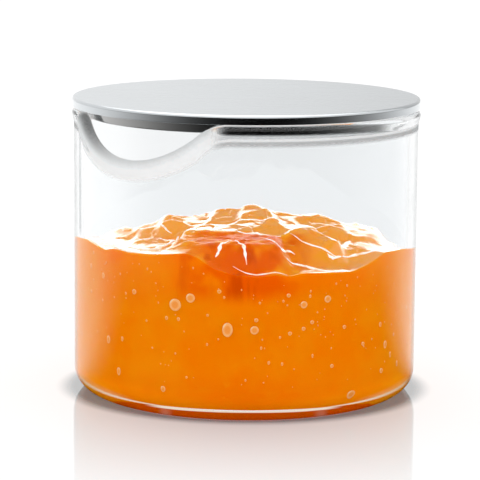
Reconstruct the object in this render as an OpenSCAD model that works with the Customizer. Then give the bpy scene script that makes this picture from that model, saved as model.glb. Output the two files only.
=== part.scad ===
// Jam pot: a glass jar with a spoon notch in its rim, a stainless steel lid and a filling of jam.
// The origin is the centre of the base, +Z points up, and the spoon notch faces -Y.

/* [Jar] */
// Outside diameter of the glass wall
jar_d = 89; // [60:1:140]
// Height of the jar from its base to its rim
jar_h = 74; // [60:1:120]
// Thickness of the glass wall
wall_t = 2.4; // [1.6:0.1:4]
// Thickness of the glass base
base_t = 3.6; // [2:0.1:6]
// Radius of the bottom corner, outside
heel_r = 6; // [3:0.5:8]
// Radius of the bottom corner, inside
inner_heel_r = 5; // [3:0.5:10]
// How far the fire-polished bead stands proud of each face of the wall
bead_proud = 0.5; // [0.2:0.1:1.2]

/* [Spoon notch] */
// Depth of the notch below the rim
notch_depth = 10.2; // [6:0.2:16]
// Radius of the hollow of the notch
notch_r = 28; // [18:1:36]
// Radius of the shoulders that run out into the rim
shoulder_r = 10.5; // [8:0.5:16]

/* [Lid] */
// Height of the cap's edge
cap_h = 2.4; // [1.8:0.1:5]
// Thickness of the cap's sheet
cap_sheet_t = 0.8; // [0.4:0.1:1.2]
// Radius along the cap's top edge
cap_edge_r = 0.6; // [0.2:0.1:1]
// How far the plug reaches into the mouth
plug_h = 2.6; // [2:0.1:5]
// Thickness of the plug's sheet
plug_sheet_t = 0.6; // [0.4:0.1:0.8]
// Radius along the plug's bottom edge, outside
plug_edge_r = 1; // [0.9:0.1:1.6]

/* [Fits] */
// Clearance round the plug in the mouth
plug_gap = 0.5; // [0.3:0.1:1.5]
// Clearance between the rim and the underside of the lid
seat_gap = 0.1; // [0.05:0.05:0.3]
// Glue line between the plug's flange and the cap
glue_gap = 0.05; // [0.02:0.01:0.2]
// Clearance between the jam and the glass wall
jam_gap = 0.1; // [0.05:0.05:0.3]

/* [Jam] */
// Depth of the jam at the wall
jam_depth = 36; // [15:1:46]
// Height of the heap in the middle above the jam at the wall
heap_h = 8; // [2:0.5:12]
// Rise and fall of the jam's edge along the wall
edge_wave_h = 3; // [0.4:0.2:3.6]
// How softly the chunks of the heap run into each other
chunk_blend = 0.7; // [0.4:0.1:3]
// Direction of the hollow in the front of the jam, in degrees from +X
jam_front_angle = -48.5; // [-180:0.5:180]

/* [Hidden] */
$fn = 96;

// Overrun of cuts past the faces that they open
overrun = 1;

// The wall and the bead that follows the rim
jar_r = jar_d / 2;
bore_r = jar_r - wall_t;
wall_mid_r = jar_r - wall_t / 2;
bead_d = wall_t + 2 * bead_proud;
bead_r = bead_d / 2;
rim_r = wall_mid_r + bead_r;
mouth_r = wall_mid_r - bead_r;

// The raised lip along the notch stays just inside the faces of the bead
lip_proud_share = 0.8;
lip_proud = lip_proud_share * bead_proud;
lip_outer_r = jar_r + lip_proud;
lip_inner_r = bore_r - lip_proud;

// Centres of the notch's hollow and of its shoulders, measured from the middle of the rim
hollow_z = jar_h + notch_r - notch_depth;
shoulder_z = jar_h - shoulder_r;
shoulder_x = sqrt((notch_r + shoulder_r) ^ 2 - (hollow_z - shoulder_z) ^ 2);
// Angle from the hollow's centre straight down to the line through a shoulder's centre
blend_angle = asin(shoulder_x / (notch_r + shoulder_r));
hollow_steps = 36;
shoulder_steps = 12;

// The lid rests on the rim and its plug hangs in the mouth
lid_z = jar_h + seat_gap;
cap_r = rim_r;
plug_r = mouth_r - plug_gap;
flange_r = cap_r - cap_sheet_t - glue_gap;

// The jam is a net of rings round the axis, laid over the bottom, up the wall and over the heap
jam_r = bore_r - jam_gap;
jam_heel_r = inner_heel_r - jam_gap;
jam_edge_z = base_t + jam_depth;
jam_sides = 90;
heel_steps = 5;
heap_steps = 24;
// Edge of the jam: angle to the right of its front hollow, and rise as a share of edge_wave_h
edge_shares = [
    [-180, -1.2], [-120, -1.2], [-90, -0.2], [-79, 0.35], [-67, 0.6], [-54, 0.2], [-49, 0.45], [-42, 0.35],
    [-33, 0.45], [-20, 0.8], [-16, 0.55], [-10, -0.35], [-4, -0.8], [4, -1], [10, -0.8], [15, -0.95],
    [20, -0.75], [38, -0.95], [45, -0.55], [54, 0.2], [66, 0.05], [76, -0.3], [100, -1.1], [180, -1.2]
];
// Calm wet band inside the edge: the same angles, and its width as a share of the radius
band_shares = [
    [-180, 0.05], [-90, 0.06], [-75, 0.07], [-30, 0.07], [-18, 0], [12, 0], [25, 0.04], [50, 0.05],
    [80, 0.06], [180, 0.05]
];
// Width of the climb from the band to the heap, as a share of the radius
climb_share = 0.2;
// Chunks of the heap: places to the right of the front hollow's direction and along it as shares of the
// radius, lift as a share of heap_h, and the slopes of the chunk's face in these two directions
chunk_shares = [
    [-0.82, 0.40, 0.10, 0.00, -0.05], [-0.72, 0.22, 0.28, 0.15, -0.30], [-0.76, -0.12, -0.10, 0.15, 0.10],
    [-0.58, 0.30, 0.34, 0.10, -0.30], [-0.62, 0.05, 0.22, 0.10, -0.20], [-0.47, 0.06, 0.50, 0.00, -0.30],
    [-0.45, 0.30, 0.48, 0.05, -0.50], [-0.21, 0.40, 0.62, 0.02, -0.02], [-0.32, 0.10, 0.54, 0.00, -0.10],
    [-0.14, 0.12, 0.68, 0.00, -0.30], [0.09, 0.13, 0.80, 0.00, -0.30], [0.04, 0.31, 0.72, 0.00, -0.15],
    [0.17, 0.33, 0.70, -0.05, -0.40], [0.30, 0.28, 0.58, 0.00, 0.00], [0.25, 0.08, 0.70, -0.05, -0.15],
    [0.43, 0.13, 0.52, -0.05, -0.30], [0.50, 0.30, 0.46, -0.10, -0.45], [0.72, 0.21, 0.42, -0.10, -0.12],
    [0.75, 0.47, 0.12, -0.10, -0.20], [0.90, 0.14, 0.10, -0.20, -0.20], [0.34, 0.55, 0.42, 0.00, -0.40],
    [0.04, 0.62, 0.52, 0.00, -0.03], [-0.27, 0.64, 0.48, 0.00, -0.03], [-0.56, 0.52, 0.20, 0.05, -0.25],
    [-0.43, -0.22, 0.25, 0.10, 0.25], [-0.10, -0.20, 0.58, 0.00, 0.25], [0.28, -0.18, 0.42, -0.10, 0.25],
    [0.62, -0.16, 0.08, -0.20, 0.20], [-0.20, -0.58, 0.00, 0.00, 0.20], [0.18, -0.58, -0.05, 0.00, 0.20],
    [0.52, -0.52, -0.25, -0.15, 0.20], [-0.56, -0.52, -0.30, 0.20, 0.20], [0.00, -0.86, -0.40, 0.00, 0.10]
];

// Points of an arc about [x, z], with angles measured from +X
function arc(x, z, radius, from, to, steps) =
    [for (i = [0:steps]) let (a = from + (to - from) * i / steps) [x + radius * cos(a), z + radius * sin(a)]];

// Outline of the notch seen along Y, grown by a margin all round
function notch_outline(margin) = concat(
    arc(-shoulder_x, shoulder_z, shoulder_r - margin, 90, 90 - blend_angle, shoulder_steps),
    arc(0, hollow_z, notch_r + margin, 270 - blend_angle, 270 + blend_angle, hollow_steps),
    arc(shoulder_x, shoulder_z, shoulder_r - margin, 90 + blend_angle, 90, shoulder_steps),
    [[shoulder_x, jar_h + overrun], [-shoulder_x, jar_h + overrun]]
);

// Half section of a round block with a rounded bottom corner
module block_section(radius, height, corner) {
    translate([0, corner]) square([radius, height - corner]);
    square([radius - corner, height]);
    translate([radius - corner, corner]) circle(corner);
}

// Half section of the glass: wall, base and the bead along the rim
module jar_section() {
    difference() {
        block_section(jar_r, jar_h - bead_r, heel_r);
        translate([0, base_t]) block_section(bore_r, jar_h, inner_heel_r);
    }
    translate([wall_mid_r, jar_h - bead_r]) circle(bead_r);
}

// A bar along -Y with the notch's outline, long enough to pass the wall
module notch_bar(margin) {
    rotate([90, 0, 0]) linear_extrude(rim_r + overrun) polygon(notch_outline(margin));
}

// The thick lip that the bead forms along the edge of the notch
module notch_lip() {
    intersection() {
        rotate_extrude() translate([lip_inner_r, 0]) square([lip_outer_r - lip_inner_r, jar_h - bead_r]);
        notch_bar(bead_d);
    }
}

module glass_jar() {
    color("lightcyan", 0.35) difference() {
        union() {
            rotate_extrude() jar_section();
            notch_lip();
        }
        notch_bar(0);
    }
}

// Drawn cap: a flat disc with a rounded edge that is turned down to the rim
module lid_cap() {
    color("lightgray") translate([0, 0, lid_z]) rotate_extrude() difference() {
        union() {
            square([cap_r - cap_edge_r, cap_h]);
            square([cap_r, cap_h - cap_edge_r]);
            translate([cap_r - cap_edge_r, cap_h - cap_edge_r]) circle(cap_edge_r);
        }
        translate([0, -overrun]) square([cap_r - cap_sheet_t, cap_h - cap_sheet_t + overrun]);
    }
}

// Drawn pan that centres the lid in the mouth, with a flange glued inside the cap
module lid_plug() {
    color("silver") translate([0, 0, lid_z - plug_h]) rotate_extrude() {
        difference() {
            block_section(plug_r, plug_h + plug_sheet_t, plug_edge_r);
            translate([0, plug_sheet_t])
                block_section(plug_r - plug_sheet_t, plug_h + overrun, plug_edge_r - plug_sheet_t);
        }
        translate([plug_r - plug_sheet_t, plug_h]) square([flange_r - plug_r + plug_sheet_t, plug_sheet_t]);
    }
}

// Angle to the right of the jam's front hollow, from -180 to 180
function front_turn(a) = a - jam_front_angle - 360 * floor((a - jam_front_angle + 180) / 360);
function edge_z(a) = jam_edge_z + edge_wave_h * lookup(front_turn(a), edge_shares);

// Offset of a place from a chunk's middle, and the height of the chunk's face there
function chunk_offset(chunk, place) = place - jam_r * [chunk[0], chunk[1]];
function face_z(chunk, place) =
    jam_edge_z + heap_h * chunk[2] + [chunk[3], chunk[4]] * chunk_offset(chunk, place);

// Height of the heap: the face of the nearest chunk, blended into its neighbours
function heap_z(place) = let (
    away = [for (chunk = chunk_shares) norm(chunk_offset(chunk, place))],
    weights = [for (distance = away) exp((min(away) - distance) / chunk_blend)],
    faces = [for (chunk = chunk_shares) face_z(chunk, place)]
) weights * faces / (weights * [for (weight = weights) 1]);

// Height of the jam's surface at a share of its radius and an angle round the axis
function smooth(share) = share ^ 2 * (3 - 2 * share);
function climb(share, a) =
    smooth(min(max((1 - share - lookup(front_turn(a), band_shares)) / climb_share, 0), 1));
function jam_z(share, a) = let (
    place = jam_r * share * [sin(front_turn(a)), cos(front_turn(a))], climbed = climb(share, a)
) edge_z(a) * (1 - climbed) + heap_z(place) * climbed;

function ring_angle(i) = 360 * i / jam_sides;
function jam_heel(i) = 270 + 90 * i / heel_steps;

// Rings from the bottom's edge up the rounded corner to the wall, then over the heap towards the middle
jam_rings = concat(
    [for (k = [0:heel_steps]) [for (i = [0:jam_sides - 1]) let (
        a = ring_angle(i), r = jam_r - jam_heel_r + jam_heel_r * cos(jam_heel(k)),
        z = base_t + jam_heel_r + jam_heel_r * sin(jam_heel(k))
    ) [r * cos(a), r * sin(a), z]]],
    [for (k = [0:heap_steps - 1]) [for (i = [0:jam_sides - 1]) let (
        a = ring_angle(i), share = 1 - k / heap_steps
    ) [jam_r * share * cos(a), jam_r * share * sin(a), jam_z(share, a)]]]
);
last_ring = len(jam_rings) - 1;
bottom_point = len(jam_rings) * jam_sides;
top_point = bottom_point + 1;

function ring_point(k, i) = k * jam_sides + i % jam_sides;

jam_points = concat(
    [for (ring = jam_rings) each ring],
    [[0, 0, base_t], [0, 0, jam_z(0, 0)]]
);
jam_faces = concat(
    [for (i = [0:jam_sides - 1]) [bottom_point, ring_point(0, i), ring_point(0, i + 1)]],
    [for (k = [0:last_ring - 1], i = [0:jam_sides - 1])
        [ring_point(k, i), ring_point(k + 1, i), ring_point(k + 1, i + 1)]],
    [for (k = [0:last_ring - 1], i = [0:jam_sides - 1])
        [ring_point(k, i), ring_point(k + 1, i + 1), ring_point(k, i + 1)]],
    [for (i = [0:jam_sides - 1]) [top_point, ring_point(last_ring, i + 1), ring_point(last_ring, i)]]
);

module jam() {
    color("darkorange") polyhedron(jam_points, jam_faces);
}

glass_jar();
lid_cap();
lid_plug();
jam();
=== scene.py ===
# %% [markdown]
# A jam pot for the breakfast table: a clear glass jar with a spoon notch in its rim, a steel lid of two
# pressed sheets, and a filling of orange jam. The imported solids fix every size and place, so the lesson
# starts by loading them, and each later step dresses one piece.

# %% Load the frame
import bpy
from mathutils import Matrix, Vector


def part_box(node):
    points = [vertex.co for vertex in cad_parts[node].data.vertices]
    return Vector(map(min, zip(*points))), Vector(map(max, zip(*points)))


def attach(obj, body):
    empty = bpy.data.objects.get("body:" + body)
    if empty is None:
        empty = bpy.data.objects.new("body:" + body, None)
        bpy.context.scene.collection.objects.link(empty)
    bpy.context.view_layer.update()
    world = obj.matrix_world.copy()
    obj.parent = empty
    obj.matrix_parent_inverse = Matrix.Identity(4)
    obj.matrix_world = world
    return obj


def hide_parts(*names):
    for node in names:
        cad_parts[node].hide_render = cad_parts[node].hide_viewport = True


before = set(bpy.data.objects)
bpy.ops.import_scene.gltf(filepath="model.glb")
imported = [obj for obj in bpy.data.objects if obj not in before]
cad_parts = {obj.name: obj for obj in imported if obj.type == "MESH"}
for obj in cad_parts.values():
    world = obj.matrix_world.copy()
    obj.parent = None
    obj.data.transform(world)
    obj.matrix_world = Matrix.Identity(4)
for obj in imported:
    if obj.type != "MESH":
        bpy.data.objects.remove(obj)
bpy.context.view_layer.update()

import math

import bpy
import numpy as np
from mathutils import Quaternion, Vector, noise

MM = 0.001

# %% [markdown]
# A few helpers make every mesh here. A stack of rings is skinned into a closed body, which suits a pot whose
# pieces were all blown, spun or poured round one axis. A modifier could spin a profile too, but rings let
# the glass edge dip into the notch and the jam rise in lumps without a second tool.

# %% Rings into meshes
TURN = 2 * math.pi


def add_piece(name, points, faces):
    """A smooth mesh object in the row's frame."""
    mesh = bpy.data.meshes.new(name)
    mesh.from_pydata([tuple(point) for point in points], [], faces)
    mesh.polygons.foreach_set("use_smooth", [True] * len(mesh.polygons))
    piece = bpy.data.objects.new(name, mesh)
    bpy.context.scene.collection.objects.link(piece)
    return piece


def skin(rings):
    """Points and faces over rings of shape (rows, columns, 3), from the axis below to the axis above."""
    rows, columns, _ = rings.shape
    index = np.arange(rows * columns).reshape(rows, columns)
    here, above = index[:-1], index[1:]
    quads = np.stack([here, np.roll(here, -1, 1), np.roll(above, -1, 1), above], -1).reshape(-1, 4)
    low, high = index[0], index[-1]
    closing_low = np.stack([np.full(columns, rows * columns), np.roll(low, -1), low], -1)
    closing_high = np.stack([np.full(columns, rows * columns + 1), high, np.roll(high, -1)], -1)
    points = np.concatenate([rings.reshape(-1, 3), [rings[0].mean(0), rings[-1].mean(0)]])
    return points, quads.tolist() + closing_low.tolist() + closing_high.tolist()


def loft(name, *stacks):
    """One object of closed bodies, each skinned over its own stack of rings."""
    points, faces = [], []
    for rings in stacks:
        new_points, new_faces = skin(rings)
        faces += [[len(points) + corner for corner in face] for face in new_faces]
        points += new_points.tolist()
    return add_piece(name, points, faces)


def mark(piece, name, *stacks):
    """Stores a value for every point of a loft, which its finish can read by name."""
    values = [np.append(np.ravel(rows), [np.mean(rows[0]), np.mean(rows[-1])]) for rows in stacks]
    layer = piece.data.attributes.new(name, "FLOAT", "POINT")
    layer.data.foreach_set("value", np.concatenate(values).astype(np.float32))


def angles(columns):
    """Angles round the axis, from the notch at -Y towards +X."""
    return np.arange(columns) * TURN / columns


def ring(angle, radius, height):
    """Points round the axis at a radius and a height, each a number or one value for every angle."""
    radius, height = np.broadcast_arrays(radius, height + 0 * angle)
    return np.stack([radius * np.sin(angle), -radius * np.cos(angle), height], -1)


print("a turn has", TURN, "radians")

# %% [markdown]
# Real borders between two finishes are never sharp, so values on the meshes rise from 0 to 1 without a
# kink at either end. A curve widget could hold such a rise, but a short formula is easier to read.

# %% Soft rises
def smooth(share):
    """Eases a share between 0 and 1 at both ends."""
    return share * share * (3 - 2 * share)


def ramp(values, low, high):
    """0 up to low, 1 from high on and smooth between, or falling where low is the higher."""
    return smooth(np.clip((values - low) / (high - low), 0, 1))


print("half way up a rise:", ramp(0.5, 0, 1))

# %% [markdown]
# The camera comes early, because the photograph decides what shows. Its height and tilt follow from the
# ellipses of the lid, the rim and the base, and the long lens keeps the sides of the jar nearly upright.

# %% Camera at the photograph's angle
VIEW_AZIMUTH = math.radians(41.5)
EYE_DISTANCE = 612 * MM
EYE_HEIGHT = 141.8 * MM
EYE_PITCH = math.radians(9.568)
EYE_ROLL = math.radians(0.5)
AIM_LEFT = 1.36 * MM
LENS_MM = 178.3
SENSOR_MM = 36

TOWARDS_EYE = Vector((math.sin(VIEW_AZIMUTH), -math.cos(VIEW_AZIMUTH), 0))
EYE_RIGHT = Vector((math.cos(VIEW_AZIMUTH), math.sin(VIEW_AZIMUTH), 0))
eye = TOWARDS_EYE * EYE_DISTANCE + Vector((0, 0, EYE_HEIGHT))
aim = Vector((0, 0, EYE_HEIGHT - EYE_DISTANCE * math.tan(EYE_PITCH))) - EYE_RIGHT * AIM_LEFT

camera = bpy.data.objects.new("camera", bpy.data.cameras.new("camera"))
camera.data.lens = LENS_MM
camera.data.sensor_width = SENSOR_MM
camera.data.clip_start = 10 * MM
camera.location = eye
level_view = (aim - eye).to_track_quat("-Z", "Y")
camera.rotation_euler = (level_view @ Quaternion((0, 0, 1), EYE_ROLL)).to_euler()
bpy.context.scene.collection.objects.link(camera)
bpy.context.scene.camera = camera
bpy.context.scene.view_settings.view_transform = "Standard"
print("camera at", [round(value, 4) for value in eye])

# %% [markdown]
# Finishes are node trees, and node trees are hard to read as wiring. One small class wraps a socket, so
# that shader maths is written as Python arithmetic and every other node is added by one method. The short
# methods below it name what this pot's finishes ask for again and again.

# %% Shader maths as expressions
NO_LIGHT = (0, 0, 0)


class Wire:
    """A socket in a node tree. Arithmetic on it adds Math nodes, and node() adds any other node."""

    def __init__(self, tree, socket=None):
        self.tree = tree
        self.socket = socket

    def node(self, kind, settings=None, inputs=None, output=0):
        """Adds a node, sets it up, fills or links its inputs, and returns one of its outputs, if any."""
        made = self.tree.nodes.new(kind)
        for name, value in (settings or {}).items():
            setattr(made, name, value)
        for key, value in (inputs or {}).items():
            if isinstance(value, Wire):
                self.tree.links.new(value.socket, made.inputs[key])
            else:
                made.inputs[key].default_value = value
        return Wire(self.tree, made.outputs[output]) if made.outputs else None

    def math(self, operation, *others):
        values = dict(enumerate((self, *others)))
        return self.node("ShaderNodeMath", {"operation": operation}, values)

    def __add__(self, other):
        return self.math("ADD", other)

    def __mul__(self, other):
        return self.math("MULTIPLY", other)

    def __sub__(self, other):
        return self.math("SUBTRACT", other)

    def __rsub__(self, other):
        return self.node("ShaderNodeMath", {"operation": "SUBTRACT"}, {0: other, 1: self})

    def __truediv__(self, other):
        return self.math("DIVIDE", other)

    def __rtruediv__(self, other):
        return self.node("ShaderNodeMath", {"operation": "DIVIDE"}, {0: other, 1: self})

    __radd__ = __add__
    __rmul__ = __mul__

    def step(self, low, high):
        """0 below low, 1 above high and smooth between, or the other way round where low is the higher."""
        settings = {"interpolation_type": "SMOOTHSTEP"}
        values = {"Value": self, "From Min": min(low, high), "From Max": max(low, high)}
        rise = self.node("ShaderNodeMapRange", settings, values)
        return rise if low < high else 1 - rise

    def tint(self, low_colour, high_colour):
        """A colour between two, where this wire is the share of the second."""
        colours = {0: self, 6: as_colour(low_colour), 7: as_colour(high_colour)}
        return self.node("ShaderNodeMix", {"data_type": "RGBA"}, colours, 2)

    def mix(self, first, second):
        """A shader between two, where this wire is the share of the second."""
        return self.node("ShaderNodeMixShader", None, {0: self, 1: first, 2: second})

    def marked(self, name):
        """A value that mark() stored on the mesh."""
        return self.node("ShaderNodeAttribute", {"attribute_name": name}, output="Fac")

    def part(self, axis):
        """One of the parts of a vector."""
        return self.node("ShaderNodeSeparateXYZ", None, {0: self}, "XYZ".index(axis))

    def join(self, y, z):
        """A vector of this wire and two more values."""
        return self.node("ShaderNodeCombineXYZ", None, {0: self, 1: y, 2: z})

    def along(self, direction):
        """How far a place lies along a level direction."""
        return direction.x * self.part("X") + direction.y * self.part("Y")

    def radius(self):
        """How far a place lies from the pot's axis."""
        x, y = self.part("X"), self.part("Y")
        return (x * x + y * y).math("SQRT")

    def noise(self, scale, detail=2.0, roughness=0.5):
        """Cloudy noise from 0 to 1 over a vector, with scale in lumps per metre."""
        values = {"Vector": self, "Scale": scale, "Detail": detail, "Roughness": roughness}
        return self.node("ShaderNodeTexNoise", None, values)

    def bump(self, strength, distance, height):
        """A normal that a small relief bends."""
        values = {"Strength": strength, "Distance": distance, "Height": height}
        return self.node("ShaderNodeBump", None, values)

    def levelness(self):
        """1 where the surface lies flat and 0 where it stands upright."""
        return self.node("ShaderNodeNewGeometry", output="Normal").part("Z").math("ABSOLUTE")

    def from_within(self):
        """1 where a ray meets the back of the surface."""
        return self.node("ShaderNodeNewGeometry", output="Backfacing")

    def turned_away(self):
        """0 where the surface faces the ray and 1 where the ray grazes it."""
        return self.node("ShaderNodeLayerWeight", None, {"Blend": 0.5}, "Facing")

    def ray(self, answer):
        """What Light Path says of the ray."""
        return self.node("ShaderNodeLightPath", output=answer)

    def bounced(self, kind):
        """1 once the ray had a bounce of this kind: Diffuse, Glossy or Transmission."""
        return self.ray(kind + " Depth").math("MINIMUM", 1.0)

    def surface(self, inputs):
        """A Principled surface."""
        return self.node("ShaderNodeBsdfPrincipled", None, inputs)

    def matt(self, colour, glow=NO_LIGHT, rough=0.5):
        """A surface without gloss, which may add some light of its own."""
        return self.surface({
            "Base Color": as_colour(colour), "Roughness": rough, "Specular IOR Level": 0.0,
            "Emission Color": as_colour(glow), "Emission Strength": 1.0,
        })


def as_colour(value):
    """A colour for a socket, with its fourth part added if it is written as three numbers."""
    return value if isinstance(value, Wire) else (*value, 1)


print("shader maths ready")

# %% [markdown]
# Every piece goes the same way: a material is begun, ended with its surface, and given to the piece, which
# then stands for its solid and moves with the body that carries it.

# %% Beginning and ending a finish
def new_finish(name):
    """An empty material and a first wire that holds places in the row's frame."""
    material = bpy.data.materials.new(name)
    material.use_nodes = True
    material.node_tree.nodes.clear()
    start = Wire(material.node_tree)
    return material, start.node("ShaderNodeTexCoord", output="Object")


def finish_with(start, shader):
    """Ends a material with its surface."""
    start.node("ShaderNodeOutputMaterial", None, {"Surface": shader})


def dress(piece, material, node, body):
    """Gives a piece its finish and lets it stand for a solid on the body that carries it."""
    piece.data.materials.append(material)
    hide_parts(node)
    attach(piece, body)


# %% [markdown]
# The glass is one blown body. Its edge is fire-polished: the flame draws the cut edge into a bead that is
# a little thicker than the wall, and the bead follows the rim down into the spoon notch. The height and the
# width come from the solid, and the rest are the sizes that it was designed with.

# %% Sizes of the glass
jar_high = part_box("glass_jar")[1]
RIM_RADIUS = jar_high.x
JAR_HEIGHT = jar_high.z
WALL = 2.4 * MM
BEAD_RADIUS = 1.7 * MM
BASE = 3.6 * MM
HEEL_RADIUS = 6 * MM
INNER_HEEL_RADIUS = 5 * MM
NOTCH_DEPTH = 10.2 * MM
NOTCH_RADIUS = 28 * MM
SHOULDER_RADIUS = 10.5 * MM

MID_RADIUS = RIM_RADIUS - BEAD_RADIUS
JAR_RADIUS = MID_RADIUS + WALL / 2
BORE_RADIUS = MID_RADIUS - WALL / 2
HOLLOW_Z = JAR_HEIGHT + NOTCH_RADIUS - NOTCH_DEPTH
SHOULDER_Z = JAR_HEIGHT - SHOULDER_RADIUS
CENTRES_APART = NOTCH_RADIUS + SHOULDER_RADIUS
SHOULDER_X = math.sqrt(CENTRES_APART**2 - (HOLLOW_Z - SHOULDER_Z) ** 2)
BLEND_X = SHOULDER_X * NOTCH_RADIUS / CENTRES_APART
print("wall mid radius", MID_RADIUS, "notch half width", SHOULDER_X)

# %% [markdown]
# The notch is a wide hollow with rounded shoulders. It could be cut with a boolean, but then the bead would
# have to be added along the cut. Here the height of the edge is a formula of the place across the notch, an
# arc that runs into a shoulder's arc, and the whole wall simply ends at that height.

# %% Height of the glass edge
def edge_height(across):
    """Height of the glass edge at a place across the notch, which faces -Y."""
    off = np.abs(across)
    hollow = HOLLOW_Z - np.sqrt(np.maximum(NOTCH_RADIUS**2 - off**2, 0))
    over = np.maximum(SHOULDER_X - off, 0)
    shoulder = SHOULDER_Z + np.sqrt(np.maximum(SHOULDER_RADIUS**2 - over**2, 0))
    return np.where(off < BLEND_X, hollow, shoulder)


def edge_slope(angle):
    """Rise of the edge for each step along the wall."""
    across = MID_RADIUS * np.sin(angle)
    small = WALL / 100
    rise = (edge_height(across + small) - edge_height(across - small)) / (2 * small)
    return rise * np.cos(angle) * (np.cos(angle) > 0)


GLASS_COLUMNS = 480
glass_turn = angles(GLASS_COLUMNS)
edge_z = np.where(np.cos(glass_turn) > 0, edge_height(MID_RADIUS * np.sin(glass_turn)), JAR_HEIGHT)
edge_stretch = np.sqrt(1 + edge_slope(glass_turn) ** 2)
print("edge from", edge_z.min(), "to", edge_z.max())

# %% [markdown]
# The jar's section is walked once: out along the base, round the heel, up the outside, over the bead, down
# the inside and back to the middle. Where the edge slopes, the bead is stretched downwards, so that it keeps
# its thickness across the slope. The rows crowd towards the top, where the shape changes most.

# %% Rows of the glass, from the base outside to the base inside
HEEL_ROWS = 14
WALL_ROWS = 24
TAPER_ROWS = 10
BEAD_ROWS = 20
BASE_ROWS = 6
TAPER_DEPTH = 2.6 * BEAD_RADIUS
CROWDING = 1.6


def heel(radius, centre_r, centre_z, rows):
    """A quarter round from straight down to straight out."""
    leans = np.linspace(0, math.pi / 2, rows)
    return [(centre_r + radius * math.sin(lean), centre_z - radius * math.cos(lean)) for lean in leans]


def disc_rows(radius, height):
    """Rows of a flat disc from its middle outwards, without its edge."""
    return [ring(glass_turn, share * radius, height) for share in np.linspace(0, 1, BASE_ROWS)[1:-1]]


def wall_side(side):
    """Rows from the wall's foot up to the widest place of the bead, on one side of the wall's middle."""
    foot = HEEL_RADIUS if side > 0 else BASE + INNER_HEEL_RADIUS
    taper_foot = edge_z - TAPER_DEPTH * edge_stretch
    rows = []
    for share in 1 - np.linspace(1, 0, WALL_ROWS)[1:] ** CROWDING:
        rows.append(ring(glass_turn, MID_RADIUS + side * WALL / 2, foot + (taper_foot - foot) * share))
    for share in np.linspace(0, 1, TAPER_ROWS)[1:]:
        half = WALL / 2 + (BEAD_RADIUS - WALL / 2) * smooth(share)
        below = TAPER_DEPTH + (BEAD_RADIUS - TAPER_DEPTH) * share
        rows.append(ring(glass_turn, MID_RADIUS + side * half, edge_z - below * edge_stretch))
    return rows


outer_heel = heel(HEEL_RADIUS, JAR_RADIUS - HEEL_RADIUS, HEEL_RADIUS, HEEL_ROWS)
inner_heel = heel(INNER_HEEL_RADIUS, BORE_RADIUS - INNER_HEEL_RADIUS, BASE + INNER_HEEL_RADIUS, HEEL_ROWS)
glass_rows = disc_rows(JAR_RADIUS - HEEL_RADIUS, 0)
glass_rows += [ring(glass_turn, radius, height) for radius, height in outer_heel]
glass_rows += wall_side(1)
for lean in np.linspace(0, math.pi, BEAD_ROWS)[1:-1]:
    below = BEAD_RADIUS * (1 - math.sin(lean))
    bead_radius = MID_RADIUS + BEAD_RADIUS * math.cos(lean)
    glass_rows.append(ring(glass_turn, bead_radius, edge_z - below * edge_stretch))
glass_rows += wall_side(-1)[::-1]
glass_rows += [ring(glass_turn, radius, height) for radius, height in inner_heel[::-1]]
glass_rows += disc_rows(BORE_RADIUS - INNER_HEEL_RADIUS, BASE)[::-1]
glass_rows = np.array(glass_rows)
jar_glass = loft("jar_glass", glass_rows)
print("glass faces:", len(jar_glass.data.polygons))

# %% [markdown]
# A thick bead gathers light from all round, so it looks milky in the notch, with a grey lip and a white
# band below it, while the level rim shows only as two thin lines. Two values on the mesh hold this: how
# frosted a place is, and how light its frost. That tone is painted light and shade: the grey lip is painted
# shade, darkest on the left arm as the camera sees it, the white band below is painted light, and the level
# rim is painted darker under its fold. They follow the depth below the edge, so they follow the bead
# through the notch, which a texture laid over the wall would not.

# %% Frost of the bead, and its painted light and shade
FROST_DEPTH = 3.3 * MM
NOTCH_ONSET = 1.2 * MM
LIP_SHADE_GREY = 0.62
RIM_GREY = 0.95
BAND_GREY = 0.86
FOLD_FROST = 0.97
FOLD_SHADE = 0.5
LEFT_ARM_SHADE_GREY = 0.14
LEFT_ARM_SHADE_ANGLES = (-42, -68)
# Where the marks rise or fall, as shares of the frost's depth below the edge.
BEAD_SHARES = (1.52, 1.37)
RIM_SHARES = (0.11, 0.03)
FOLD_START_SHARES = (0.97, 1.05)
FOLD_END_SHARES = (1.6, 1.4)
FOLD_SHADE_SHARES = (1.16, 1.28)
LIP_SHARES = (0, 0.55)
WHITE_SHARES = (0.5, 0.75)


def seen_from_eye(angle):
    """Angles round the axis in degrees to the right of the camera."""
    return np.degrees(np.mod(angle - VIEW_AZIMUTH + math.pi, TURN) - math.pi)


def between(first, second, share):
    """A value between two."""
    return first + (second - first) * share


below_edge = (edge_z - glass_rows[:, :, 2]) / (FROST_DEPTH * edge_stretch)
in_notch = ramp(JAR_HEIGHT - edge_z, 0, NOTCH_ONSET)
on_fold = ramp(below_edge, *FOLD_START_SHARES) * ramp(below_edge, *FOLD_END_SHARES)
on_level_rim = np.maximum(ramp(below_edge, *RIM_SHARES), FOLD_FROST * on_fold * (1 - in_notch))
mark(jar_glass, "frost", np.maximum(in_notch * ramp(below_edge, *BEAD_SHARES), on_level_rim))
# Painted light and shade: a grey lip, darkest on the left arm, a white band below, shade under the fold.
lip_shade = between(LIP_SHADE_GREY, LEFT_ARM_SHADE_GREY, ramp(seen_from_eye(glass_turn), *LEFT_ARM_SHADE_ANGLES))
lip_shade = between(RIM_GREY, lip_shade, in_notch)
band_tone = between(lip_shade, BAND_GREY, ramp(below_edge, *LIP_SHARES))
bead_light_and_shade = between(band_tone, 1, ramp(below_edge, *WHITE_SHARES))
shade_under_fold = ramp(below_edge, *FOLD_SHADE_SHARES) * (1 - in_notch)
mark(jar_glass, "tone", bead_light_and_shade * (1 - FOLD_SHADE * shade_under_fold))
print("notch covers", round(100 * in_notch.mean()), "percent of the rim")
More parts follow.
